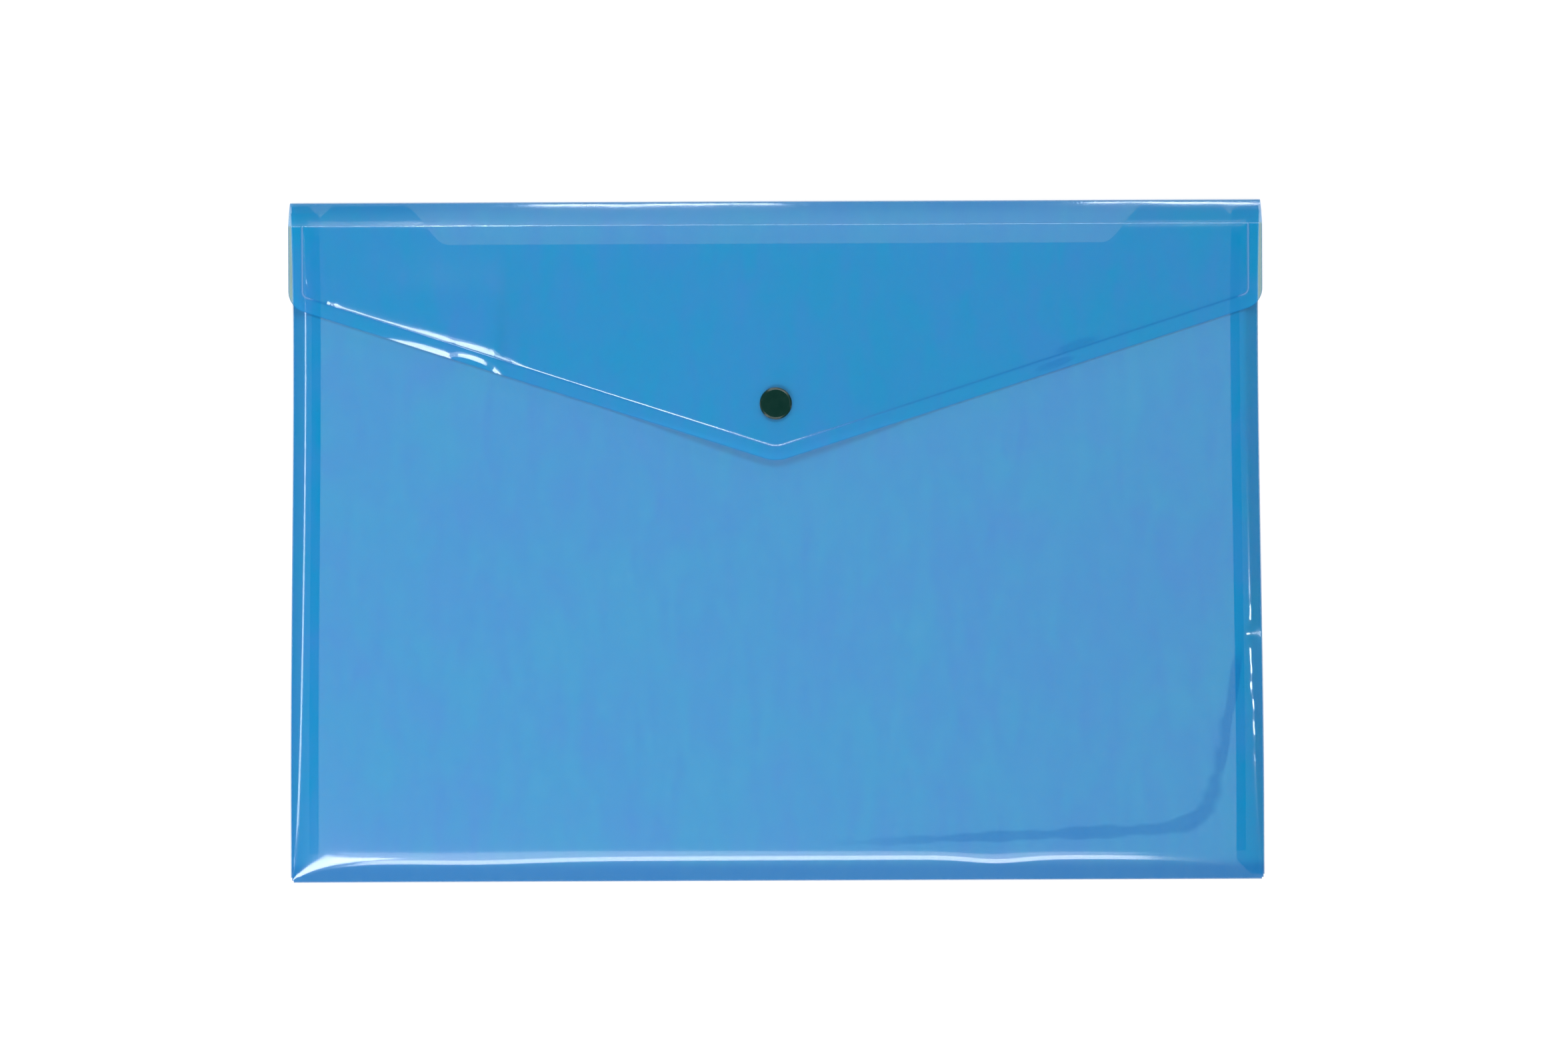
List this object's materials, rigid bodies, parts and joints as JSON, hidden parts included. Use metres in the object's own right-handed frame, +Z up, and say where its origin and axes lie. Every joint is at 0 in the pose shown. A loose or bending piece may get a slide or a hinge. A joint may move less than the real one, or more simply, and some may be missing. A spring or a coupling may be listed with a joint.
{
  "type": "seminar folder",
  "caption": "Translucent wallet for loose papers: a flat pocket with welded side tabs, closed by a pointed flap and a round press stud.",
  "frame": {"origin": "on the table, under the middle of the closed wallet", "axes": "+X along the top fold, to the right as the wallet is read; +Y towards the top fold; +Z up, from the back panel to the flap"},
  "size_m": [0.335, 0.234, 0.0109],
  "materials": {
    "clear_blue_sheet": "glossy translucent blue polypropylene, 0.3 mm",
    "weld_seam": "melted and knurled, the same blue, denser",
    "popper_plastic": "glossy, very dark green"
  },
  "bodies": {
    "pocket": {"back_panel": "clear_blue_sheet", "front_panel": "clear_blue_sheet", "bottom_fold": "clear_blue_sheet", "left_side_fold": "clear_blue_sheet", "left_side_tab": "clear_blue_sheet", "left_weld_seam": "weld_seam", "right_side_fold": "clear_blue_sheet", "right_side_tab": "clear_blue_sheet", "right_weld_seam": "weld_seam", "popper_stud": "popper_plastic", "popper_stud_back": "popper_plastic", "top_fold": "clear_blue_sheet"},
    "spine": {"spine_strip": "clear_blue_sheet"},
    "flap": {"flap_crease": "clear_blue_sheet", "flap_panel": "clear_blue_sheet", "popper_cap": "popper_plastic", "popper_socket": "popper_plastic"}
  },
  "joints": [
    {"name": "top_fold_hinge", "type": "hinge", "parent": "pocket", "child": "spine", "pos_m": [0, 0.11585, 0.00115], "axis": [-1, 0, 0], "range_deg": [0, 145], "deforming": ["top_fold"]},
    {"name": "flap_crease_hinge", "type": "hinge", "parent": "spine", "child": "flap", "pos_m": [0, 0.1082, 0.0051], "axis": [-1, 0, 0], "range_deg": [0, 24], "deforming": ["flap_crease"]}
  ]
}
